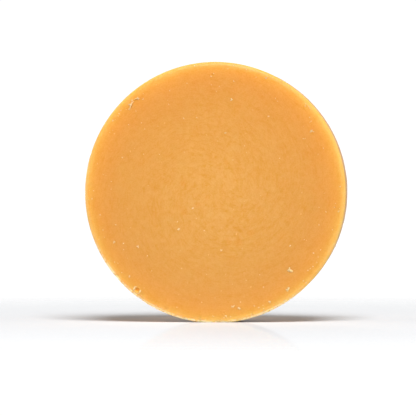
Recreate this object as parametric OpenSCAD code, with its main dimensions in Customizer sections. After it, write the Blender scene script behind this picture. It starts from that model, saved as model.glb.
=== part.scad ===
// Round shaving soap puck, standing on its rim.
// The puck's axis runs along Y: the front face looks towards -Y and the back face towards +Y.
// The origin is the middle of the puck, on its axis. All sizes are in millimetres.

/* [Puck] */
// Diameter of the puck across its rim
puck_d = 70; // [50:0.5:90]
// Thickness of the puck, from the front face to the back face
puck_t = 25; // [12:0.5:40]
// Radius that rounds the edge of the front face
front_edge_r = 1.2; // [0.4:0.1:2]
// Radius that rounds the edge of the back face
back_edge_r = 2; // [0.4:0.1:3]
// Width of the flat pressed into the rim where the puck stands
rim_flat_w = 7.6; // [4:0.2:12]

/* [Burst bubbles] */
// Radius of the largest burst bubble in the front face
bubble_r = 0.55; // [0.3:0.05:0.8]

/* [Crumbs] */
// Length of the largest crumb of soap stuck to the front face
crumb_length = 1.3; // [0.6:0.1:2]
// How far the crumbs stand proud, as a share of their width
crumb_height_share = 0.45; // [0.2:0.05:0.8]

/* [Hidden] */
$fn = 96;

rim_r = puck_d / 2;
front_y = -puck_t / 2;
back_y = puck_t / 2;
face_r = rim_r - front_edge_r;
rim_flat_z = -sqrt(rim_r * rim_r - rim_flat_w * rim_flat_w / 4);

soap_colour = "sandybrown";
crumb_colour = "wheat";

// Each mark's place on the front face: degrees clockwise from the top, as seen from the front, and
// its distance from the middle as a share of the flat face's radius. Its size is a share of the largest.
// Burst bubbles: [degrees, distance, size]
BUBBLES = [
    [218, 0.975, 1.00],
    [359, 0.93, 0.70],
    [46, 0.97, 0.75],
    [97, 0.95, 0.60],
    [176, 0.955, 0.60],
    [252, 0.83, 0.60]
];
// Crumbs: [degrees, distance, size, turn]
CRUMBS = [
    [24, 0.975, 0.50, 10],
    [10, 0.745, 0.50, 65],
    [10, 0.48, 0.45, 20],
    [336, 0.885, 0.35, 80],
    [315, 0.955, 0.95, 50],
    [319, 0.965, 0.60, 30],
    [305, 0.975, 0.40, 0],
    [35, 0.735, 0.40, 15],
    [54, 0.94, 0.40, 45],
    [57, 0.90, 0.80, 70],
    [59, 0.83, 0.35, 25],
    [276, 0.83, 0.35, 5],
    [267, 0.975, 0.40, 85],
    [235, 0.215, 0.50, 35],
    [230, 0.38, 0.35, 60],
    [225, 0.41, 0.55, 75],
    [243, 0.89, 0.55, 60],
    [235, 0.75, 0.60, 130],
    [227, 0.74, 0.35, 40],
    [174, 0.46, 0.70, 15],
    [136, 0.86, 1.00, 150],
    [143, 0.955, 0.60, 100],
    [153, 0.84, 0.40, 20],
    [155, 0.955, 0.55, 170],
    [172, 0.905, 0.55, 30],
    [168, 0.94, 0.50, 150],
    [181, 0.975, 0.40, 0],
    [225, 0.945, 0.50, 90],
    [87, 0.98, 0.40, 55],
    [94, 0.93, 0.35, 20],
    [100, 0.975, 0.40, 75]
];

// Carries its children from the XY plane at the origin to a place on the front face,
// with +Z turned to look out of that face.
module on_front_face(degrees, distance) {
    translate([face_r * distance * sin(degrees), front_y, face_r * distance * cos(degrees)])
        rotate([90, 0, 0])
            children();
}

// The puck turned from half of its outline: a disc with two differently rounded edges.
module puck_blank() {
    rotate([-90, 0, 0])
        rotate_extrude(angle = 360)
            union() {
                translate([0, front_y])
                    square([rim_r - front_edge_r, puck_t / 2]);
                translate([0, front_y + front_edge_r])
                    square([rim_r, puck_t - front_edge_r - back_edge_r]);
                square([rim_r - back_edge_r, puck_t / 2]);
                translate([rim_r - front_edge_r, front_y + front_edge_r])
                    circle(r = front_edge_r);
                translate([rim_r - back_edge_r, back_y - back_edge_r])
                    circle(r = back_edge_r);
            }
}

// Everything below the flat that the puck stands on.
module below_rim_flat() {
    translate([-rim_flat_w, -puck_t, rim_flat_z - puck_t])
        cube([2 * rim_flat_w, 2 * puck_t, puck_t]);
}

// The hollow that a burst bubble leaves: a ball sunk a little past its middle.
module bubble(size) {
    translate([0, 0, -0.1 * size])
        sphere(r = size);
}

// One crumb: a chip with sloping, uneven sides and a flat underside.
module crumb(length) {
    width = 0.62 * length;
    height = crumb_height_share * width;
    intersection() {
        translate([-length / 2, -width / 2, 0])
            cube([length, width, height]);
        translate([0, 0, -0.1 * height])
            rotate([14, -18, 38])
                cube([0.9 * length, 0.9 * length, 2 * height], center = true);
        rotate([-20, 12, 0])
            cube([1.1 * length, 0.9 * width, 1.9 * height], center = true);
    }
}

module soap_puck() {
    color(soap_colour)
        difference() {
            puck_blank();
            below_rim_flat();
            for (b = BUBBLES)
                on_front_face(b[0], b[1])
                    bubble(bubble_r * b[2]);
        }
}

module face_crumbs() {
    color(crumb_colour)
        for (c = CRUMBS)
            on_front_face(c[0], c[1])
                rotate([0, 0, c[3]])
                    crumb(crumb_length * c[2]);
}

soap_puck();
face_crumbs();
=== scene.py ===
"""Looks for a round shaving soap puck that stands on its rim.

Metres, +Z up. The puck's axis runs along Y, with its front face towards -Y and its middle at the origin.
A place on a face is given as a clock angle, in degrees clockwise from the top as seen from the front,
and a distance from the middle in millimetres.
"""
import math
import random

import bmesh
import bpy
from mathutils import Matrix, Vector, noise


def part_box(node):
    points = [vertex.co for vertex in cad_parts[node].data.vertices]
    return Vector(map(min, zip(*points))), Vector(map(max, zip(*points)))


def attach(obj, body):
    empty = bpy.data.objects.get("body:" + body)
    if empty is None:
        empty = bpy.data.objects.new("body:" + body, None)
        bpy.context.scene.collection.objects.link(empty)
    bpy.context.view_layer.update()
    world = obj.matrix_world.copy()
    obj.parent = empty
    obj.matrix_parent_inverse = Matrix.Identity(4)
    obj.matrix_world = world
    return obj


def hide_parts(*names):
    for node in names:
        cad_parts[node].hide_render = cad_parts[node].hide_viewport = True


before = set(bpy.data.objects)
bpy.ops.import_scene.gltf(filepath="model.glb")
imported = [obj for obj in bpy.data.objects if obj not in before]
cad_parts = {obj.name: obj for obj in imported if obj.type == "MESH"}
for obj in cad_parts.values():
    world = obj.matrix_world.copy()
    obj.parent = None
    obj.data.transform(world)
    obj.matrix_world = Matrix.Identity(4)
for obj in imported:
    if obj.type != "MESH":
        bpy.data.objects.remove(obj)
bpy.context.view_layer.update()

MM = 0.001

# ---------------------------------------------------------------- the puck's sizes, from the frame
puck_low, puck_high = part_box("soap_puck")
RIM_R = (puck_high.x - puck_low.x) / 2 / MM
FRONT_Y = puck_low.y / MM
BACK_Y = puck_high.y / MM
FLOOR_Z = puck_low.z / MM
FRONT_EDGE_R = 1.2
BACK_EDGE_R = 2.0

# ---------------------------------------------------------------- marks on the front face
# Burst bubbles: clock angle, distance, radius, how hollow
BUBBLES = [
    (218.7, 33.5, 0.60, 1.00),
    (358.5, 31.4, 0.38, 0.25),
    (46.8, 33.4, 0.40, 0.12),
    (97, 32.2, 0.32, 0.20),
    (176, 32.3, 0.32, 0.25),
    (252, 28.1, 0.32, 0.25),
]
# Crumbs stuck to the face: clock angle, distance, length, turn
CRUMBS = [
    (24, 33.5, 0.62, 10),
    (8.1, 34.3, 0.45, 40),
    (350.8, 34.4, 0.45, 110),
    (14.2, 33.9, 0.40, 0),
    (10, 25.2, 0.70, 65),
    (10, 16.2, 0.60, 20),
    (336, 29.9, 0.40, 80),
    (320.4, 32.6, 0.75, 160),
    (317.8, 33.2, 0.60, 115),
    (315.9, 32.6, 1.00, 120),
    (314.0, 32.1, 0.45, 100),
    (322.2, 31.6, 0.45, 20),
    (305, 33.5, 0.60, 100),
    (35, 24.9, 0.50, 15),
    (47.4, 34.1, 0.50, 40),
    (53.4, 32.0, 0.42, 45),
    (57.4, 30.5, 0.90, 70),
    (57.6, 30.6, 0.65, 155),
    (59, 28.0, 0.40, 25),
    (276, 28.0, 0.40, 5),
    (267, 33.1, 0.45, 85),
    (235, 7.3, 0.60, 35),
    (232.4, 12.8, 0.45, 60),
    (225, 13.9, 0.75, 75),
    (243.9, 30.2, 0.75, 50),
    (235, 25.3, 0.80, 130),
    (227, 24.9, 0.40, 40),
    (252, 28.0, 0.50, 10),
    (174, 15.6, 0.72, 15),
    (136, 29.1, 1.60, 160),
    (142.7, 32.4, 0.95, 55),
    (143.5, 32.5, 0.90, 125),
    (134.8, 34.3, 0.50, 20),
    (147.4, 34.4, 0.50, 60),
    (158, 34.4, 0.50, 150),
    (153, 28.4, 0.45, 20),
    (153.5, 32.6, 0.85, 170),
    (171, 30.9, 0.92, 30),
    (168.3, 31.7, 0.85, 150),
    (181, 33.1, 0.50, 0),
    (175, 33.2, 0.65, 120),
    (225.7, 32.1, 0.70, 90),
    (87.3, 33.5, 0.50, 55),
    (97, 32.2, 0.40, 20),
    (98.7, 33.4, 0.60, 75),
]
# Grains of soap dust that lie together in rows and patches: clock angle, distance
GRAINS = [
    (118.5, 32.1),
    (122, 32.5),
    (127, 32.8),
    (128.6, 32.6),
    (130, 32.4),
    (135, 33.4),
    (176, 33.6),
    (174.7, 33.7),
    (173, 33.5),
    (167, 30.1),
    (157, 32.8),
    (157.3, 33.7),
    (159.3, 32.9),
    (161, 32.1),
    (160.6, 24.9),
    (219, 27.0),
    (187, 29.6),
    (234, 32.2),
    (235.3, 32.8),
    (229.4, 33.0),
    (241, 28.1),
    (238, 28.9),
    (357.9, 31.1),
    (359.3, 31.8),
    (345.5, 30.2),
    (9.5, 30.2),
    (309.3, 33.3),
    (308.2, 33.1),
    (311.0, 33.5),
    (270.8, 32.6),
    (266.8, 34.0),
    (290.6, 26.6),
    (298.1, 21.8),
    (312, 25.4),
    (259, 31.4),
    (251.5, 31.7),
    (121.6, 30.9),
    (124.4, 33.0),
    (99.9, 30.1),
    (107.3, 29.1),
    (125.4, 24.6),
    (216, 8.6),
    (196, 10.6),
    (198.5, 32.4),
    (346.2, 20.7),
    (337, 21.6),
    (51.5, 32.3),
    (45.6, 33.9),
    (46.2, 33.4),
    (48.2, 33.9),
    (58.3, 31.0),
    (67.7, 31.3),
    (58.6, 27.6),
]
# Curved shavings: clock angle, distance, length, which way they bulge, how far they bend
CURLS = [(316, 32.5, 2.7, 155, 62), (320.1, 32.8, 1.6, 104, 50)]
# More orange patches where the paste was folded in: clock angle, distance, radius
FOLDS = [
    (137.5, 14.5, 1.3),
    (155.3, 14.9, 1.5),
    (164.5, 13.7, 1.0),
    (237.4, 2.3, 1.0),
    (235.2, 5.6, 1.1),
    (237, 10.2, 1.0),
    (285, 9.0, 0.9),
    (20, 8.5, 1.0),
]
# A thumb mark: clock angle, distance, where its ridges start and end, and from ridge to ridge
THUMB = (163, 14.2, 1.6, 6.6, 1.7)
# The stretch of the front edge that was trimmed with a knife: its middle, and how many degrees
# either side of it the trimming starts to fade and ends
TRIMMED_MIDDLE = 194
TRIMMED_SPREAD = (36, 60)
# Small hollows in the wall (clock angle, y, radius) and in the back face (clock angle, distance, radius)
WALL_PITS = [
    (20, -6.0, 0.50),
    (38, 3.5, 0.75),
    (40.4, 5.0, 0.40),
    (63, -2.0, 0.45),
    (78, 7.4, 0.55),
    (97, 0.5, 0.80),
    (99.6, 2.3, 0.45),
    (128, -5.0, 0.55),
    (150, 4.0, 0.60),
    (230, 1.0, 0.60),
    (262, -4.0, 0.50),
    (285, 5.5, 0.75),
    (287.8, 4.0, 0.45),
    (307, -1.5, 0.50),
    (328, 2.5, 0.80),
    (345, -7.0, 0.50),
]
BACK_PITS = [
    (12, 21.0, 0.75),
    (15.5, 22.9, 0.45),
    (75, 12.0, 0.55),
    (118, 26.0, 0.85),
    (160, 8.0, 0.45),
    (205, 18.5, 0.65),
    (262, 28.0, 0.55),
    (300, 14.5, 0.80),
    (335, 27.0, 0.50),
]
# Chips out of the trimmed edge: clock angle, half width in degrees, depth
CHIPS = [(215.5, 1.3, 0.14), (203, 1.0, 0.10), (187, 0.8, 0.10), (229, 1.0, 0.08), (163, 0.9, 0.09)]


def on_face(clock, distance, y):
    """A point in millimetres at a place on a face."""
    turn = math.radians(clock)
    return Vector((distance * math.sin(turn), y, distance * math.cos(turn)))


def clock_of(x, z):
    """The clock angle of a point, from 0 to 360 degrees."""
    return math.degrees(math.atan2(x, z)) % 360


def smooth(low, high, value):
    """0 below low, 1 above high, and a smooth step between."""
    t = min(1.0, max(0.0, (value - low) / (high - low)))
    return t * t * (3 - 2 * t)


def wobble(point, size, seed=0.0):
    """Smooth noise from about -1 to 1, whose lumps are about size millimetres across."""
    return noise.noise(point / size + Vector((seed, 3.7 * seed, -1.9 * seed)))


def waves(point, layers):
    """Layers of smooth noise, added up."""
    rise = 0.0
    for height, size, seed in layers:
        rise += height * wobble(point, size, seed)
    return rise


# ---------------------------------------------------------------- the cake of soap
# How finely the mesh is divided
FACE_RINGS = 96
WALL_ROWS = 34
FRONT_EDGE_ROWS = 8
BACK_EDGE_ROWS = 9
# Layers of smooth noise in the surface: the height, the size across and the seed of each
FRONT_WAVES = [(0.035, 9.0, 1.0), (0.012, 2.2, 2.0), (0.006, 0.9, 3.0)]
FRONT_EDGE_WAVES = [(0.05, 0.7, 5.0), (0.03, 0.35, 7.0)]
WALL_DRAG = [(0.016, 0.9, 8.0), (0.03, 3.0, 9.0)]
BACK_WAVES = [(0.08, 7.0, 14.0), (0.022, 1.8, 15.0)]
# Heights and depths of the other marks. A bubble's and a pit's are shares of its radius.
FRONT_FALL = 0.10
THUMB_HEIGHT = 0.012
BUBBLE_DEPTH = 0.50
BUBBLE_LIP = 0.20
PIT_DEPTH = 0.42
PIT_LIP = 0.07
BURR_HEIGHT = 0.12
NICK_DEPTH = 0.22
DENT_DEPTH = 0.24
WALL_SUNK = 0.08
BACK_SUNK = 0.06
BACK_DISH = 0.50
BACK_RING_HEIGHT = 0.035
BACK_PORE_DEPTH = 0.5
# A piece of the mesh this near a mark, in the mark's radii, is cut finer
NEAR_BUBBLE = 2.4
NEAR_PIT = 2.0


def edge_outline():
    """Points (radius, y) from the front face's last ring round the rim to the back face's last ring."""
    outline = []
    for i in range(1, FRONT_EDGE_ROWS + 1):
        turn = math.pi / 2 * i / FRONT_EDGE_ROWS
        radius = RIM_R - FRONT_EDGE_R + FRONT_EDGE_R * math.sin(turn)
        outline.append((radius, FRONT_Y + FRONT_EDGE_R * (1 - math.cos(turn))))
    wall = (BACK_Y - BACK_EDGE_R) - (FRONT_Y + FRONT_EDGE_R)
    for i in range(1, WALL_ROWS):
        outline.append((RIM_R, FRONT_Y + FRONT_EDGE_R + wall * i / WALL_ROWS))
    for i in range(BACK_EDGE_ROWS + 1):
        turn = math.pi / 2 * i / BACK_EDGE_ROWS
        radius = RIM_R - BACK_EDGE_R + BACK_EDGE_R * math.cos(turn)
        outline.append((radius, BACK_Y - BACK_EDGE_R + BACK_EDGE_R * math.sin(turn)))
    return outline


def add_ring(mesh, count, radius, y):
    """A ring of points round the axis."""
    ring = []
    for i in range(count):
        ring.append(mesh.verts.new(on_face(360 * i / count, radius, y)))
    return ring


def join_disc(mesh, centre, rings, front):
    """Fills a disc whose ring number k has 6k points with even triangles."""
    inner = [centre]
    for k, outer in enumerate(rings, start=1):
        for sector in range(6):
            for i in range(k):
                a = outer[(sector * k + i) % (6 * k)]
                b = outer[(sector * k + i + 1) % (6 * k)]
                c = inner[(sector * (k - 1) + i) % len(inner)]
                mesh.faces.new((a, c, b) if front else (a, b, c))
                if i < k - 1:
                    d = inner[(sector * (k - 1) + i + 1) % len(inner)]
                    mesh.faces.new((b, c, d) if front else (b, d, c))
        inner = outer


def join_rings(mesh, one, two):
    """A band of quads between two rings of equal count."""
    count = len(one)
    for i in range(count):
        j = (i + 1) % count
        mesh.faces.new((one[i], one[j], two[j], two[i]))


def build_blank(mesh):
    """The closed, even mesh of the puck before its marks."""
    count = 6 * FACE_RINGS
    front_r = RIM_R - FRONT_EDGE_R
    back_r = RIM_R - BACK_EDGE_R
    front = [add_ring(mesh, 6 * k, front_r * k / FACE_RINGS, FRONT_Y) for k in range(1, FACE_RINGS + 1)]
    bands = [add_ring(mesh, count, radius, y) for radius, y in edge_outline()]
    back = [add_ring(mesh, 6 * k, back_r * k / FACE_RINGS, BACK_Y) for k in range(1, FACE_RINGS)]
    back.append(bands[-1])
    join_disc(mesh, mesh.verts.new((0, FRONT_Y, 0)), front, front=True)
    last = front[-1]
    for band in bands:
        join_rings(mesh, last, band)
        last = band
    join_disc(mesh, mesh.verts.new((0, BACK_Y, 0)), back, front=False)


def refine(mesh, near, cuts):
    """Cuts every edge that has both ends where near(point) is true."""
    edges = [e for e in mesh.edges if near(e.verts[0].co) and near(e.verts[1].co)]
    bmesh.ops.subdivide_edges(mesh, edges=edges, cuts=cuts, use_grid_fill=True)
    bmesh.ops.triangulate(mesh, faces=[f for f in mesh.faces if len(f.verts) > 4])


def near_bubble(point):
    """Is a point of the front face at a burst bubble?"""
    if point.y > FRONT_Y + 0.3:
        return False
    return any((point - on_face(c, d, FRONT_Y)).length < NEAR_BUBBLE * r for c, d, r, _ in BUBBLES)


def pit_places():
    """The middle and the radius of every hollow in the wall and the back face."""
    wall = [(on_face(clock, RIM_R, y), radius) for clock, y, radius in WALL_PITS]
    return wall + [(on_face(clock, distance, BACK_Y), radius) for clock, distance, radius in BACK_PITS]


PITS = pit_places()


def near_pit(point):
    """Is a point at a hollow in the wall or the back face?"""
    return any((point - middle).length < NEAR_PIT * radius for middle, radius in PITS)


def pit_relief(point):
    """How far the surface stands out near the hollows: a small crater with a soft lip."""
    rise = 0.0
    for middle, radius in PITS:
        off = (point - middle).length / radius
        if off < 2.2:
            off *= 1 + 0.22 * wobble(point, 0.8, 22.0)
            rise -= PIT_DEPTH * radius * (1 - smooth(0.15, 1.0, off))
            rise += PIT_LIP * radius * math.exp(-((off - 1.25) / 0.30) ** 2)
    return rise


def apart(one, two):
    """How many degrees apart two clock angles are."""
    return abs((one - two + 180) % 360 - 180)


def ragged_share(clock):
    """How ragged the front edge is: all along the lower left and the bottom, a little elsewhere."""
    return 0.12 + 0.88 * (1 - smooth(*TRIMMED_SPREAD, apart(clock, TRIMMED_MIDDLE)))


def near_ragged_edge(point):
    """Is a point on the ragged stretch of the front edge?"""
    if point.y > FRONT_Y + 1.3:
        return False
    radius = math.hypot(point.x, point.z)
    return radius > RIM_R - 1.8 and ragged_share(clock_of(point.x, point.z)) > 0.5


def front_relief(point, radius):
    """How far the front face stands out: faint waves, the thumb mark's ridges and burst bubbles."""
    rise = waves(point, FRONT_WAVES)
    rise -= FRONT_FALL * smooth(RIM_R - 5.0, RIM_R - 0.6, radius) ** 2
    clock, distance, start, end, pitch = THUMB
    off = (point - on_face(clock, distance, FRONT_Y)).length
    if off < end:
        faded = smooth(start, start + 1.2, off) * (1 - smooth(end - 2.0, end, off))
        faded *= smooth(-0.2, 0.3, wobble(point, 3.5, 18.0))
        winding = 1.5 * wobble(point, 4.0, 16.0)
        rise += THUMB_HEIGHT * faded * math.sin(2 * math.pi * off / pitch + winding)
    for clock, distance, size, hollow in BUBBLES:
        off = (point - on_face(clock, distance, FRONT_Y)).length / size
        if off < 2.6:
            rise -= BUBBLE_DEPTH * size * hollow * (1 - smooth(0.35, 1.05, off))
            lip = math.exp(-((off - 1.3) / 0.28) ** 2)
            rise += BUBBLE_LIP * size * lip * (0.7 + 0.8 * wobble(point, 0.5, 4.0))
    return rise


def edge_relief(point, clock):
    """How far the front edge stands out: a trimmed, slightly crumbly arris with a thin burr on it."""
    ragged = ragged_share(clock)
    radius = math.hypot(point.x, point.z)
    turn = math.degrees(math.atan2(radius - RIM_R + FRONT_EDGE_R, FRONT_Y + FRONT_EDGE_R - point.y))
    burr = math.exp(-((turn - 50) / 16) ** 2) * (0.75 + 0.6 * wobble(point, 1.3, 17.0))
    rise = waves(point, FRONT_EDGE_WAVES) + BURR_HEIGHT * burr
    rise -= NICK_DEPTH * max(0.0, wobble(point, 1.9, 6.0) - 0.22)
    for middle, half, depth in CHIPS:
        rise -= depth * (1 - smooth(0.3, 1.0, apart(clock, middle) / half))
    return ragged * rise


def wall_relief(point):
    """How far the wall stands out: faint drag lines along the axis, and soft dents."""
    along = Vector((point.x, point.y * 0.06, point.z))
    dents = max(0.0, wobble(point, 3.4, 10.0) - 0.42)
    bumps = 0.03 * wobble(point, 1.6, 11.0)
    return waves(along, WALL_DRAG) - WALL_SUNK + bumps - DENT_DEPTH * dents


def back_relief(point, radius):
    """How far the back face stands out: it is slightly dished, as a poured face dries."""
    dish = -BACK_DISH * (1 - smooth(6, 32, radius))
    winding = 2.6 * wobble(point, 14.0, 12.0)
    rings = BACK_RING_HEIGHT * math.sin(radius * 1.5 + winding) * smooth(2, 12, radius)
    pores = max(0.0, wobble(point, 1.3, 13.0) - 0.5)
    return dish + rings + waves(point, BACK_WAVES) - BACK_SUNK - BACK_PORE_DEPTH * pores


def shape_blank(mesh):
    """Moves every point of the even mesh to where the worn, cast surface is."""
    moves = []
    mesh.normal_update()
    for v in mesh.verts:
        point = v.co.copy()
        radius = math.hypot(point.x, point.z)
        clock = clock_of(point.x, point.z)
        front = 1 - smooth(FRONT_Y + 0.05, FRONT_Y + 0.9, point.y)
        back = smooth(BACK_Y - 1.4, BACK_Y - 0.05, point.y)
        wall = smooth(RIM_R - 1.2, RIM_R - 0.1, radius)
        arris = smooth(RIM_R - 2.0, RIM_R - 0.9, radius) * (1 - smooth(FRONT_Y + 0.8, FRONT_Y + 1.6, point.y))
        rise = front * front_relief(point, radius) + back * back_relief(point, radius)
        rise += wall * (1 - arris) * wall_relief(point)
        rise += arris * edge_relief(point, clock) + (1 - front) * pit_relief(point)
        moves.append((v, point + v.normal * rise))
    for v, place in moves:
        v.co = place
    for v in mesh.verts:
        v.co.z = max(v.co.z, FLOOR_Z)
        v.co.y = min(max(v.co.y, FRONT_Y - 0.2), BACK_Y)
        over = math.hypot(v.co.x, v.co.z) / RIM_R
        if over > 1:
            v.co.x /= over
            v.co.z /= over


def make_object(name, mesh, materials):
    """Turns a bmesh in millimetres into an object in metres, with smooth faces."""
    bmesh.ops.scale(mesh, vec=(MM, MM, MM), verts=mesh.verts)
    bmesh.ops.recalc_face_normals(mesh, faces=mesh.faces)
    data = bpy.data.meshes.new(name)
    mesh.to_mesh(data)
    mesh.free()
    data.polygons.foreach_set("use_smooth", [True] * len(data.polygons))
    for material in materials:
        data.materials.append(material)
    made = bpy.data.objects.new(name, data)
    bpy.context.scene.collection.objects.link(made)
    return made


# ---------------------------------------------------------------- crumbs
# How many crumbs are scattered on the front face, the trimmed edge, the wall and the back face.
# Those that fall where none belong are left out.
DUST_COUNT = 130
EDGE_CRUMB_COUNT = 150
WALL_CRUMB_COUNT = 54
BACK_CRUMB_COUNT = 30
FACE_SEED = 41
RIM_SEED = 17
# Where the crumbs round the largest burst bubble lie, as clock angles about its middle
PIT_RING = (100, 118, 134, 150, 172, 200, 262, 285, 305, 322, 344)


def add_crumb(mesh, place, outward, length, turn, seed):
    """An irregular crumb, sunk a little into the surface that it is stuck to."""
    side = outward.cross(Vector((0, 0, 1)))
    if side.length < 0.2:
        side = outward.cross(Vector((1, 0, 0)))
    side.normalize()
    up = outward.cross(side)
    cos_t, sin_t = math.cos(math.radians(turn)), math.sin(math.radians(turn))
    along = side * cos_t + up * sin_t
    across = up * cos_t - side * sin_t
    detail = 3 if length > 0.5 else 2
    made = bmesh.ops.create_icosphere(mesh, subdivisions=detail, radius=1.0)["verts"]
    width = 0.62 + 0.2 * wobble(Vector((seed, 0, 0)), 1.0)
    for v in made:
        p = v.co.copy()
        lump = 1 + 0.30 * wobble(p, 0.9, seed) + 0.16 * wobble(p, 0.42, seed + 5)
        p *= lump
        facet = max(abs(p.x), abs(p.y), abs(p.z))
        p *= 1 - 0.22 * (facet - 0.7)
        height = p.z * 0.30 if p.z > 0 else p.z * 0.16
        height *= 1.6 * min(1.0, 0.9 / length)
        v.co = place + length / 2 * (along * p.x + across * (p.y * width) + outward * height)


def add_cluster(mesh, place, outward, length, turn, seed):
    """A crumb with a few smaller ones grown onto it, for an uneven outline."""
    draw = random.Random(round(10 * seed))
    add_crumb(mesh, place, outward, 0.82 * length, turn, seed)
    side = outward.cross(Vector((0.3, 0, 1))).normalized()
    up = outward.cross(side)
    for i in range(3 if length > 0.6 else 2):
        angle = math.radians(turn + draw.choice((0, 180)) + draw.uniform(-65, 65))
        reach = length * draw.uniform(0.26, 0.46)
        spot = place + (side * math.cos(angle) + up * math.sin(angle)) * reach
        small = length * draw.uniform(0.28, 0.5)
        add_crumb(mesh, spot, outward, small, draw.uniform(0, 180), seed + 0.31 * i)


def add_curl(mesh, place, length, bulge, bend):
    """A thin shaving of soap, bent into an arc that bulges one way (degrees from the right)."""
    steps, sides = 26, 10
    radius = length / math.radians(bend)
    centre = place - radius * Vector((math.cos(math.radians(bulge)), 0, math.sin(math.radians(bulge))))
    out = Vector((0, -1, 0))
    rings = []
    for i in range(steps + 1):
        t = i / steps
        turn = math.radians(bulge + bend * (t - 0.5))
        outward = Vector((math.cos(turn), 0, math.sin(turn)))
        middle = centre + outward * radius + out * (0.06 + 0.10 * math.sin(math.pi * t))
        middle += outward * 0.12 * wobble(middle, 0.7, 23.0)
        thick = 0.03 + 0.17 * math.sin(math.pi * t) ** 0.8 * (0.8 + 0.5 * wobble(middle, 0.6, 24.0))
        ring = []
        for s in range(sides):
            a = 2 * math.pi * s / sides
            off = outward * (thick * 1.1 * math.cos(a)) + out * (thick * 0.6 * math.sin(a))
            ragged = 1 + 0.3 * wobble(middle + off, 0.3, 21.0)
            ring.append(mesh.verts.new(middle + off * ragged))
        rings.append(ring)
    for one, two in zip(rings, rings[1:]):
        join_rings(mesh, one, two)
    mesh.faces.new(rings[0])
    mesh.faces.new(list(reversed(rings[-1])))


def on_front(clock, distance):
    """A point on the uneven front face or its rounded edge, and the way that the surface faces there."""
    over = max(0.0, distance - RIM_R + FRONT_EDGE_R) / FRONT_EDGE_R
    turn = math.asin(min(1.0, over))
    outward = on_face(clock, math.sin(turn), -math.cos(turn))
    place = on_face(clock, distance, FRONT_Y + FRONT_EDGE_R * (1 - math.cos(turn)))
    return place + outward * front_relief(place, distance), outward


def add_pit_ring(mesh, draw):
    """Crumbs round the mouth of the largest burst bubble, thickest at its lower right and upper left."""
    clock, distance, size, _ = BUBBLES[0]
    middle = on_face(clock, distance, FRONT_Y)
    for i, turn in enumerate(PIT_RING):
        spot = middle + on_face(turn, size * draw.uniform(1.25, 1.65), 0)
        place, outward = on_front(clock_of(spot.x, spot.z), math.hypot(spot.x, spot.z))
        add_crumb(mesh, place, outward, draw.uniform(0.34, 0.56), draw.uniform(0, 180), 90 + i)


def face_crumb_mesh():
    """All the crumbs on the front face: those listed one by one, then a seeded dusting of fine ones."""
    mesh = bmesh.new()
    for i, (clock, distance, length, turn) in enumerate(CRUMBS):
        add_cluster(mesh, *on_front(clock, distance), length, turn, 1.7 * i)
    for clock, distance, length, bulge, bend in CURLS:
        add_curl(mesh, on_face(clock, distance, FRONT_Y), length, bulge, bend)
    draw = random.Random(FACE_SEED)
    for i, (clock, distance) in enumerate(GRAINS):
        length = draw.uniform(0.28, 0.50)
        add_crumb(mesh, *on_front(clock, distance), length, draw.uniform(0, 180), 60 + i)
    add_pit_ring(mesh, draw)
    for i in range(DUST_COUNT):
        distance = RIM_R * math.sqrt(draw.uniform(0.02, 0.93))
        if draw.random() > 0.25 + 0.75 * (distance / RIM_R) ** 2:
            continue
        place, outward = on_front(draw.uniform(0, 360), distance)
        add_crumb(mesh, place, outward, draw.uniform(0.14, 0.32), draw.uniform(0, 180), 100 + i)
    return mesh


def rim_crumb_mesh():
    """Tiny crumbs along the trimmed lower edge, and a few on the wall and the back face."""
    mesh = bmesh.new()
    draw = random.Random(RIM_SEED)
    for i in range(EDGE_CRUMB_COUNT):
        clock = draw.gauss(195, 26)
        if ragged_share(clock) < 0.5:
            continue
        turn = math.radians(draw.uniform(8, 75))
        radius = RIM_R - FRONT_EDGE_R + FRONT_EDGE_R * math.sin(turn)
        y = FRONT_Y + FRONT_EDGE_R * (1 - math.cos(turn))
        place = on_face(clock, radius, y)
        outward = on_face(clock, math.sin(turn), -math.cos(turn))
        place += outward * edge_relief(place, clock)
        if place.z < FLOOR_Z + 0.15:
            continue
        add_crumb(mesh, place, outward, draw.uniform(0.16, 0.42), draw.uniform(0, 180), 300 + i)
    for i in range(WALL_CRUMB_COUNT):
        place = on_face(draw.uniform(-150, 150), RIM_R, draw.uniform(FRONT_Y + 2, BACK_Y - 2.5))
        outward = Vector((place.x, 0, place.z)).normalized()
        place += outward * min(0.0, wall_relief(place) + pit_relief(place))
        add_crumb(mesh, place, outward, draw.uniform(0.16, 0.50), draw.uniform(0, 180), 500 + i)
    for i in range(BACK_CRUMB_COUNT):
        distance = RIM_R * math.sqrt(draw.uniform(0.02, 0.82))
        place = on_face(draw.uniform(0, 360), distance, BACK_Y)
        place.y += back_relief(place, distance) + pit_relief(place)
        add_crumb(mesh, place, Vector((0, 1, 0)), draw.uniform(0.16, 0.55), draw.uniform(0, 180), 600 + i)
    return mesh


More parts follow.
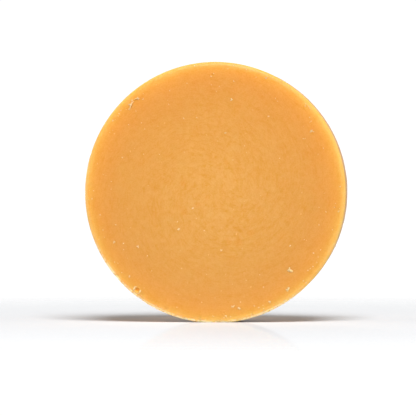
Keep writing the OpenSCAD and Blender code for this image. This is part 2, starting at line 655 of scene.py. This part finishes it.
# ---------------------------------------------------------------- materials
class Nodes:
    """A short way to write a material's node graph."""

    def __init__(self, name):
        self.material = bpy.data.materials.new(name)
        self.material.use_nodes = True
        self.tree = self.material.node_tree
        self.shader = self.tree.nodes["Principled BSDF"]
        self.coordinates = self.tree.nodes.new("ShaderNodeTexCoord").outputs["Object"]

    def put(self, socket, value):
        """Links a socket, or sets its value."""
        if isinstance(value, bpy.types.NodeSocket):
            self.tree.links.new(value, socket)
        else:
            socket.default_value = value

    def add(self, kind, inputs=(), **settings):
        """A new node, with its inputs linked or set and its settings made."""
        node = self.tree.nodes.new("ShaderNode" + kind)
        for key, value in settings.items():
            setattr(node, key, value)
        for key, value in dict(inputs).items():
            self.put(node.inputs[key], value)
        return node

    def math(self, operation, a, b=0.0, c=0.0):
        """A sum of numbers."""
        return self.add("Math", {0: a, 1: b, 2: c}, operation=operation).outputs[0]

    def vector(self, operation, a, b=(0, 0, 0)):
        """A sum of vectors, which gives a number or a vector."""
        node = self.add("VectorMath", {0: a, 1: b}, operation=operation)
        gives_number = operation in ("LENGTH", "DISTANCE", "DOT_PRODUCT")
        return node.outputs["Value" if gives_number else "Vector"]

    def multiply_add(self, a, b, c):
        """The vector a * b + c."""
        node = self.add("VectorMath", {0: a, 1: b, 2: c}, operation="MULTIPLY_ADD")
        return node.outputs[0]

    def part(self, vector, axis):
        """One coordinate of a vector, such as Z."""
        return self.add("SeparateXYZ", {0: vector}).outputs[axis]

    def off_centre(self, value):
        """A value from 0 to 1, moved down to lie about 0."""
        return self.math("SUBTRACT", value, 0.5)

    def noise(self, where, size_mm, detail=2.0, roughness=0.5, distortion=0.0):
        """Noise with lumps about size_mm across."""
        settings = {
            "Vector": where,
            "Scale": 1000 / size_mm,
            "Detail": detail,
            "Roughness": roughness,
            "Distortion": distortion,
        }
        return self.add("TexNoise", settings).outputs["Fac"]

    def ease(self, value, low, high, out_low=0.0, out_high=1.0):
        """Maps low..high smoothly to out_low..out_high."""
        settings = {
            "Value": value,
            "From Min": low,
            "From Max": high,
            "To Min": out_low,
            "To Max": out_high,
        }
        return self.add("MapRange", settings, interpolation_type="SMOOTHSTEP").outputs[0]

    def ramp(self, value, stops):
        """A colour ramp. Stops are (place, colour)."""
        node = self.add("ValToRGB", {0: value})
        ramp = node.color_ramp
        ramp.interpolation = "B_SPLINE" if len(stops) > 3 else "LINEAR"
        while len(ramp.elements) < len(stops):
            ramp.elements.new(0.5)
        for element, (place, colour) in zip(ramp.elements, stops):
            element.position = place
            element.color = (*colour, 1)
        return node.outputs[0]

    def mix(self, share, a, b):
        """Colour a where share is 0, and colour b where it is 1."""
        node = self.add("Mix", data_type="RGBA")
        self.put(node.inputs["Factor"], share)
        self.put(node.inputs[6], a if isinstance(a, bpy.types.NodeSocket) else (*a, 1))
        self.put(node.inputs[7], b if isinstance(b, bpy.types.NodeSocket) else (*b, 1))
        return node.outputs[2]

    def join(self, value):
        """The same number three times over, as a vector."""
        return self.add("CombineXYZ", {0: value, 1: value, 2: value}).outputs[0]

    def warp(self, where, size_mm, by):
        """Coordinates pushed about by noise, so that what is drawn with them winds."""
        lumps = self.add("TexNoise", {"Vector": where, "Scale": 1000 / size_mm, "Detail": 2.0})
        push = self.vector("SUBTRACT", lumps.outputs["Color"], (0.5, 0.5, 0.5))
        return self.multiply_add(push, (by, by, by), where)

    def toward(self, flat, clock):
        """1 where a vector in the plane of the face points at a clock angle, -1 where it points away."""
        return self.vector("DOT_PRODUCT", self.vector("NORMALIZE", flat), on_face(clock, 1.0, 0))

    def trimmed_share(self, flat):
        """1 on the trimmed stretch of the edge, and 0 away from it."""
        fades, ends = (math.cos(math.radians(degrees)) for degrees in TRIMMED_SPREAD)
        return self.ease(self.toward(flat, TRIMMED_MIDDLE), ends, fades)

    def set(self, **values):
        """Sets or links the shader's own sockets: base_color is Base Color."""
        for key, value in values.items():
            self.put(self.shader.inputs[key.replace("_", " ").title()], value)


# Colours of the face by the distance from the axis, as a share of the rim's radius. From about 0.85 outwards
# the ramp paints a yellow glow of light coming through the rim: painted light, not the soap's own colour.
FACE_COLOURS_AND_RIM_GLOW = [
    (0.00, (0.648, 0.317, 0.065)),
    (0.40, (0.625, 0.295, 0.055)),
    (0.72, (0.612, 0.277, 0.049)),
    (0.85, (0.642, 0.274, 0.046)),
    (0.92, (0.684, 0.295, 0.044)),
    (0.96, (0.705, 0.331, 0.043)),
    (1.00, (0.790, 0.525, 0.138)),
]
# The wall's colours are painted darker than the face: painted shade, for the wall in shade. The drag noise
# that mixes them is the wall's own grain.
SHADED_WALL_COLOURS = [(0.510, 0.220, 0.033), (0.580, 0.265, 0.046)]
BACK_EDGE_COLOUR = (0.640, 0.300, 0.052)
FLECK_COLOUR = (0.78, 0.47, 0.18)
# Pale dry burr on the trimmed edge, also a painted highlight along that lit lower edge.
BURR_AND_HIGHLIGHT_COLOUR = (0.92, 0.72, 0.43)
CRUMB_COLOURS = [(0.2, (0.62, 0.37, 0.14)), (0.5, (0.66, 0.44, 0.20)), (0.8, (0.72, 0.53, 0.29))]
# Tints, which colours are multiplied by
# The three rim tints shape the painted rim glow: weaker at the top, stronger at the bottom and the right.
TOP_RIM_GLOW_TINT = (0.99, 0.81, 0.65)
BOTTOM_RIM_GLOW_TINT = (1.13, 1.06, 1.15)
RIGHT_RIM_GLOW_TINT = (1.00, 1.06, 1.10)
# Painted shade: the face is darker towards the bottom, and a touch less blue towards the top.
PAINTED_SHADE_BOTTOM_TINT = (0.850, 0.875, 0.890)
PAINTED_SHADE_TOP_TINT = (1.000, 0.975, 0.940)
FOLD_TINT = (1.00, 0.935, 0.78)
# Inside the burst bubbles: more orange soap, and painted light that brightens the hollows against their
# shade.
MOIST_AND_PAINTED_LIGHT_TINT = (1.16, 1.08, 0.74)
NO_TINT = (1, 1, 1)
# How far red, green and blue rise where the tone rises by 1
TONE_STEP = (0.014, 0.034, 0.130)
# How strong each kind of mottling is in the tone
MOTTLE = 8.5
CLOUDS = 3.0
WORMS = 1.9
STREAKS = 2.0
RIDGES = 2.2
GRAIN = 8.8


def soap_colour(n, flat, radius, front):
    """The broad colour of the front face, the wall and the back face, with painted light in it: a painted
    glow on the front rim, tinted by side, painted shade towards the bottom, and a wall painted darker as
    shade.
    """
    where = n.coordinates
    uneven = n.math("MULTIPLY", n.off_centre(n.noise(where, 16.0)), 0.04)
    # The ramp's outer end paints the rim's glow.
    face = n.ramp(n.math("ADD", radius, uneven), FACE_COLOURS_AND_RIM_GLOW)

    # The painted rim glow is tinted by side, as light falls: weaker at the top, stronger at the bottom and
    # the right.
    lower = n.math("ADD", n.math("MULTIPLY", n.toward(flat, 180), 0.5), 0.5)
    right = n.ease(n.toward(flat, 100), 0.1, 1.0)
    rim_glow_tint = n.vector(
        "MULTIPLY",
        n.mix(lower, TOP_RIM_GLOW_TINT, BOTTOM_RIM_GLOW_TINT),
        n.mix(right, NO_TINT, RIGHT_RIM_GLOW_TINT),
    )
    on_rim = n.math("MULTIPLY", n.ease(radius, 0.955, 0.985), front)
    face = n.vector("MULTIPLY", face, n.mix(on_rim, NO_TINT, rim_glow_tint))

    # Painted shade: the face darkens towards the bottom.
    above = n.ease(n.part(where, "Z"), -RIM_R * MM, RIM_R * MM)
    face = n.vector("MULTIPLY", face, n.mix(above, PAINTED_SHADE_BOTTOM_TINT, PAINTED_SHADE_TOP_TINT))
    back_edge = n.math("MULTIPLY", n.ease(front, 1, 0), n.ease(radius, 0.90, 1.0))
    face = n.mix(back_edge, face, BACK_EDGE_COLOUR)

    drag = n.noise(n.vector("MULTIPLY", where, (1, 0.3, 1)), 3.2, 3.0)
    depth = n.math("ABSOLUTE", n.part(where, "Y"))
    on_face_share = n.ease(depth, (BACK_Y - 1.9) * MM, (BACK_Y - 0.7) * MM)
    # The wall takes the darker colours that are painted shade.
    return n.mix(on_face_share, n.mix(drag, *SHADED_WALL_COLOURS), face)


def thumb_ridges(n, flat):
    """The ridges of a thumb mark, broken up and clearest at its upper right."""
    where = n.coordinates
    clock, distance, start, end, pitch = THUMB
    middle = on_face(clock, distance, 0) * MM
    off = n.vector("DISTANCE", flat, middle)
    winding = n.math("MULTIPLY", n.noise(where, 4.0), 3.0)
    wave = n.math("ADD", n.math("MULTIPLY", off, 2 * math.pi / (pitch * MM)), winding)
    ridges = n.math("SUBTRACT", n.math("SINE", wave), 0.4)
    begins = n.ease(off, start * MM, (start + 1.2) * MM)
    stops = n.ease(off, (end - 2) * MM, end * MM, 1, 0)
    ridges = n.math("MULTIPLY", ridges, n.math("MULTIPLY", begins, stops))
    upper_right = n.ease(n.toward(n.vector("SUBTRACT", flat, middle), 55), 0.1, 0.9)
    broken = n.ease(n.noise(where, 3.5, 0.0), 0.40, 0.58)
    return n.math("MULTIPLY", ridges, n.math("MULTIPLY", upper_right, broken))


def soap_tone(n, flat, radius, warped):
    """How far the soap is paler or more orange than its broad colour, most of all in the middle."""
    where = n.coordinates
    mottle = n.off_centre(n.noise(warped, 1.3, 3.0, 0.6))
    clouds = n.off_centre(n.noise(warped, 5.0, 2.0))
    tone = n.math("ADD", n.math("MULTIPLY", mottle, MOTTLE), n.math("MULTIPLY", clouds, CLOUDS))

    # worm-like folds that wind round the middle
    spun = n.add("VectorRotate", {"Vector": warped, "Axis": (0, 1, 0)})
    n.put(spun.inputs["Angle"], n.math("MULTIPLY", radius, 5.0))
    folds = n.math("ABSOLUTE", n.off_centre(n.noise(spun.outputs[0], 2.4, 1.0, 0.4, 1.2)))
    worms = n.off_centre(n.ease(folds, 0.0, 0.08))
    tone = n.math("ADD", tone, n.math("MULTIPLY", worms, WORMS))

    # short darker streaks that run round the middle
    heading = n.vector("NORMALIZE", n.vector("MULTIPLY", warped, (1, 0, 1)))
    around = n.vector("MULTIPLY", heading, (7, 7, 7))
    outward = n.add("CombineXYZ", {1: n.math("MULTIPLY", radius, RIM_R / 1.1)}).outputs[0]
    place = n.vector("ADD", around, outward)
    spots = n.add("TexNoise", {"Vector": place, "Scale": 1.0, "Detail": 1.0})
    streaks = n.ease(spots.outputs["Fac"], 0.56, 0.70)
    tone = n.math("SUBTRACT", tone, n.math("MULTIPLY", streaks, STREAKS))

    tone = n.math("ADD", tone, n.math("MULTIPLY", thumb_ridges(n, flat), RIDGES))
    tone = n.math("MULTIPLY", tone, n.ease(radius, 0.25, 0.95, 1.0, 0.66))
    grain = n.off_centre(n.noise(where, 0.35, 2.0, 0.6))
    return n.math("ADD", tone, n.math("MULTIPLY", grain, GRAIN))


def add_fold_tint(n, colour, flat, front):
    """More orange patches where the paste was folded in."""
    uneven = n.math("MULTIPLY_ADD", n.noise(n.coordinates, 1.8, 2.0), 2.4, -0.2)
    for clock, distance, size in FOLDS:
        off = n.vector("DISTANCE", flat, on_face(clock, distance, 0) * MM)
        off = n.math("MULTIPLY", off, uneven)
        patch = n.math("MULTIPLY", n.ease(off, 0.3 * size * MM, size * MM, 1, 0), front)
        colour = n.mix(patch, colour, n.vector("MULTIPLY", colour, FOLD_TINT))
    return colour


def add_flecks(n, colour, warped):
    """Fine pale flecks."""
    cells = n.add("TexVoronoi", {"Vector": warped, "Scale": 520.0})
    chance = n.add("SeparateColor", {0: cells.outputs["Color"]}).outputs[0]
    reach = n.ease(chance, 0.80, 1.0, 0.0, 0.10)
    fleck = n.math("LESS_THAN", cells.outputs["Distance"], reach)
    return n.mix(n.math("MULTIPLY", fleck, 0.45), colour, FLECK_COLOUR)


def add_bubble_tint(n, colour, flat, front):
    """Moist, more orange soap inside the burst bubbles, made brighter too: painted light that lifts the
    hollows out of their own shade.
    """
    for clock, distance, size, hollow in BUBBLES:
        off = n.vector("DISTANCE", flat, on_face(clock, distance, 0) * MM)
        inside = n.ease(off, 0.45 * size * MM, size * MM, hollow ** 2, 0)
        moist_and_lit = n.vector("MULTIPLY", colour, MOIST_AND_PAINTED_LIGHT_TINT)
        colour = n.mix(n.math("MULTIPLY", inside, front), colour, moist_and_lit)
    return colour


def add_burr_and_highlight(n, colour, flat, radius):
    """The pale, dry burr along the trimmed stretch of the front edge, which is also a painted highlight where
    that edge catches the light.
    """
    where = n.coordinates
    trimmed = n.math("MULTIPLY", n.trimmed_share(flat), n.ease(radius, 0.978, 0.989))
    near = n.ease(n.part(where, "Y"), (FRONT_Y + 1.0) * MM, (FRONT_Y + 1.6) * MM, 1, 0)
    broken = n.ease(n.noise(where, 0.8, 2.0), 0.36, 0.50)
    burr = n.math("MULTIPLY", n.math("MULTIPLY", trimmed, near), broken)
    return n.mix(n.math("MULTIPLY", burr, 0.82), colour, BURR_AND_HIGHLIGHT_COLOUR)


def soap_material():
    """Waxy amber soap: a paler middle, a yellow rim that is a painted glow, milled swirls, mottling and fine
    flecks.
    """
    n = Nodes("amber_soap")
    where = n.coordinates
    flat = n.vector("MULTIPLY", where, (1, 0, 1))
    radius = n.math("DIVIDE", n.vector("LENGTH", flat), RIM_R * MM)
    front = n.ease(n.part(where, "Y"), 0.0, 0.001, 1, 0)
    warped = n.warp(where, 9.0, 0.006)

    tone = soap_tone(n, flat, radius, warped)
    shift = n.multiply_add(n.join(tone), TONE_STEP, (1, 1, 1))
    colour = n.vector("MULTIPLY", soap_colour(n, flat, radius, front), shift)
    colour = add_fold_tint(n, colour, flat, front)
    colour = add_flecks(n, colour, warped)
    colour = add_bubble_tint(n, colour, flat, front)
    n.set(base_color=add_burr_and_highlight(n, colour, flat, radius))

    pores = n.noise(warped, 0.9, 2.0)
    fine = n.math("MULTIPLY", n.noise(where, 0.22, 4.0, 0.6), 0.5)
    height = n.math("ADD", fine, n.math("MULTIPLY", pores, 0.8))
    bump = n.add("Bump", {"Height": height, "Strength": 0.35, "Distance": 0.00006})
    n.set(roughness=n.ease(pores, 0.3, 0.7, 0.44, 0.58), normal=bump.outputs[0])
    n.shader.inputs["Subsurface Weight"].default_value = 0.55
    n.shader.inputs["Subsurface Radius"].default_value = (1.0, 0.5, 0.2)
    n.shader.inputs["Subsurface Scale"].default_value = 0.0035
    n.shader.inputs["IOR"].default_value = 1.45
    n.shader.inputs["Specular IOR Level"].default_value = 0.35
    return n.material


def crumb_material():
    """Dry crumbs of the same soap, paler because light scatters in them."""
    n = Nodes("dry_soap_crumbs")
    where = n.coordinates
    each = n.add("NewGeometry").outputs["Random Per Island"]
    lumps = n.math("MULTIPLY", n.noise(where, 0.5, 3.0, 0.6), 0.6)
    tone = n.math("ADD", lumps, n.math("MULTIPLY_ADD", each, 0.36, 0.10))
    n.set(base_color=n.ramp(tone, CRUMB_COLOURS))
    n.set(roughness=n.ease(n.noise(where, 0.3, 2.0), 0.3, 0.7, 0.5, 0.75))
    height = n.noise(where, 0.12, 4.0, 0.7)
    bump = n.add("Bump", {"Height": height, "Strength": 0.5, "Distance": 0.00004})
    n.set(normal=bump.outputs[0])
    n.shader.inputs["Subsurface Weight"].default_value = 0.6
    n.shader.inputs["Subsurface Radius"].default_value = (1.0, 0.6, 0.3)
    n.shader.inputs["Subsurface Scale"].default_value = 0.0005
    n.shader.inputs["IOR"].default_value = 1.45
    return n.material


# ---------------------------------------------------------------- the stage
FLOOR_R = 900
FLOOR_COLOUR = (0.660, 0.672, 0.690, 1)
# How much of the floor's look is a mirror image, and where from the middle it fades out, in metres
FLOOR_GLOSS = 0.12
FLOOR_FADE = (0.02, 0.32)
# How bright the white surround looks, and how much soft light it gives
WORLD_SHOWN = 1.05
WORLD_GIVEN = 0.065
# The camera's lens in millimetres, the angles that it stands at in degrees, to the right of straight
# on and above it, its distance in metres, and what it looks at in millimetres
LENS = 481
CAMERA_AZIMUTH = 2.6
CAMERA_ELEVATION = 0.70
CAMERA_AWAY = 1.5
CAMERA_AIM = Vector((-2.49, 0, -4.30))
# Softboxes that all face the puck: name, place in metres, size in metres, power in watts
LIGHTS = [
    ("key", (0.214, -1.524, 1.970), 1.20, 96.5),
    ("back_fill", (-0.60, 2.20, 0.10), 0.40, 46.0),
    ("left_fill", (-1.7, -0.5, 0.12), 0.40, 11.0),
    ("right_fill", (1.7, -0.45, 0.12), 0.40, 9.0),
]


def make_floor():
    """A wide, plain white floor that fades out into the white surround."""
    n = Nodes("white_floor")
    n.set(base_color=FLOOR_COLOUR, roughness=0.5)
    n.shader.inputs["Specular IOR Level"].default_value = 0.0
    gloss = n.add("BsdfGlossy", {"Color": (1, 1, 1, 1), "Roughness": 0.03})
    body = n.add("MixShader", {0: FLOOR_GLOSS, 1: n.shader.outputs[0], 2: gloss.outputs[0]})
    away = n.vector("LENGTH", n.vector("MULTIPLY", n.coordinates, (1, 1, 0)))
    fade = n.ease(away, *FLOOR_FADE)
    clear = n.add("BsdfTransparent")
    whole = n.add("MixShader", {0: fade, 1: body.outputs[0], 2: clear.outputs[0]})
    out = n.tree.nodes["Material Output"]
    n.tree.links.new(whole.outputs[0], out.inputs["Surface"])
    mesh = bmesh.new()
    bmesh.ops.create_circle(mesh, cap_ends=True, segments=96, radius=FLOOR_R)
    for v in mesh.verts:
        v.co.z = FLOOR_Z
    floor = make_object("studio_floor", mesh, [n.material])


def make_light(name, place, size, power):
    """A square softbox at place, turned to the puck."""
    data = bpy.data.lights.new(name, "AREA")
    data.shape = "SQUARE"
    data.size = size
    data.energy = power
    light = bpy.data.objects.new(name, data)
    light.location = place
    light.rotation_mode = "QUATERNION"
    light.rotation_quaternion = (-Vector(place)).to_track_quat("-Z", "Y")
    bpy.context.scene.collection.objects.link(light)


def make_world():
    """A plain white surround: the camera and reflections see one strength, and soft light has another."""
    world = bpy.data.worlds.new("white_surround")
    world.use_nodes = True
    tree = world.node_tree
    sky = tree.nodes["Background"]
    sky.inputs["Color"].default_value = (1, 1, 1, 1)
    sky.inputs["Strength"].default_value = WORLD_GIVEN
    seen = tree.nodes.new("ShaderNodeBackground")
    seen.inputs["Strength"].default_value = WORLD_SHOWN
    seen.inputs["Color"].default_value = (1, 1, 1, 1)
    path = tree.nodes.new("ShaderNodeLightPath")
    mix = tree.nodes.new("ShaderNodeMixShader")
    direct = tree.nodes.new("ShaderNodeMath")
    direct.operation = "MAXIMUM"
    tree.links.new(path.outputs["Is Camera Ray"], direct.inputs[0])
    tree.links.new(path.outputs["Is Glossy Ray"], direct.inputs[1])
    tree.links.new(direct.outputs[0], mix.inputs[0])
    tree.links.new(sky.outputs[0], mix.inputs[1])
    tree.links.new(seen.outputs[0], mix.inputs[2])
    tree.links.new(mix.outputs[0], tree.nodes["World Output"].inputs["Surface"])
    bpy.context.scene.world = world


def make_camera():
    """A long lens, close to straight on, from a touch above and to the right."""
    data = bpy.data.cameras.new("camera")
    data.sensor_width = 36
    data.lens = LENS
    data.clip_start = 0.1
    data.clip_end = 20
    camera = bpy.data.objects.new("camera", data)
    azimuth = math.radians(CAMERA_AZIMUTH)
    elevation = math.radians(CAMERA_ELEVATION)
    back = Vector((
        math.sin(azimuth) * math.cos(elevation),
        -math.cos(azimuth) * math.cos(elevation),
        math.sin(elevation),
    ))
    camera.location = CAMERA_AIM * MM + back * CAMERA_AWAY
    camera.rotation_mode = "QUATERNION"
    camera.rotation_quaternion = (-back).to_track_quat("-Z", "Y")
    bpy.context.scene.collection.objects.link(camera)
    bpy.context.scene.camera = camera


# ---------------------------------------------------------------- putting it together
def make_puck():
    """The cake of soap and its crumbs, which stand in for the frame's two nodes."""
    soap = soap_material()
    crumbs = crumb_material()

    mesh = bmesh.new()
    build_blank(mesh)
    refine(mesh, near_ragged_edge, 1)
    refine(mesh, near_bubble, 3)
    refine(mesh, near_pit, 1)
    shape_blank(mesh)
    cake = make_object("soap_cake", mesh, [soap])
    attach(cake, "root")
    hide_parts("soap_puck")

    face = make_object("face_crumbs_loose", face_crumb_mesh(), [crumbs])
    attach(face, "root")
    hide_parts("face_crumbs")

    rim = make_object("rim_crumbs", rim_crumb_mesh(), [crumbs])
    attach(rim, "root")


make_camera()
make_world()
for name, place, size, power in LIGHTS:
    make_light(name, place, size, power)
make_floor()
make_puck()
bpy.context.scene.view_settings.view_transform = "Standard"
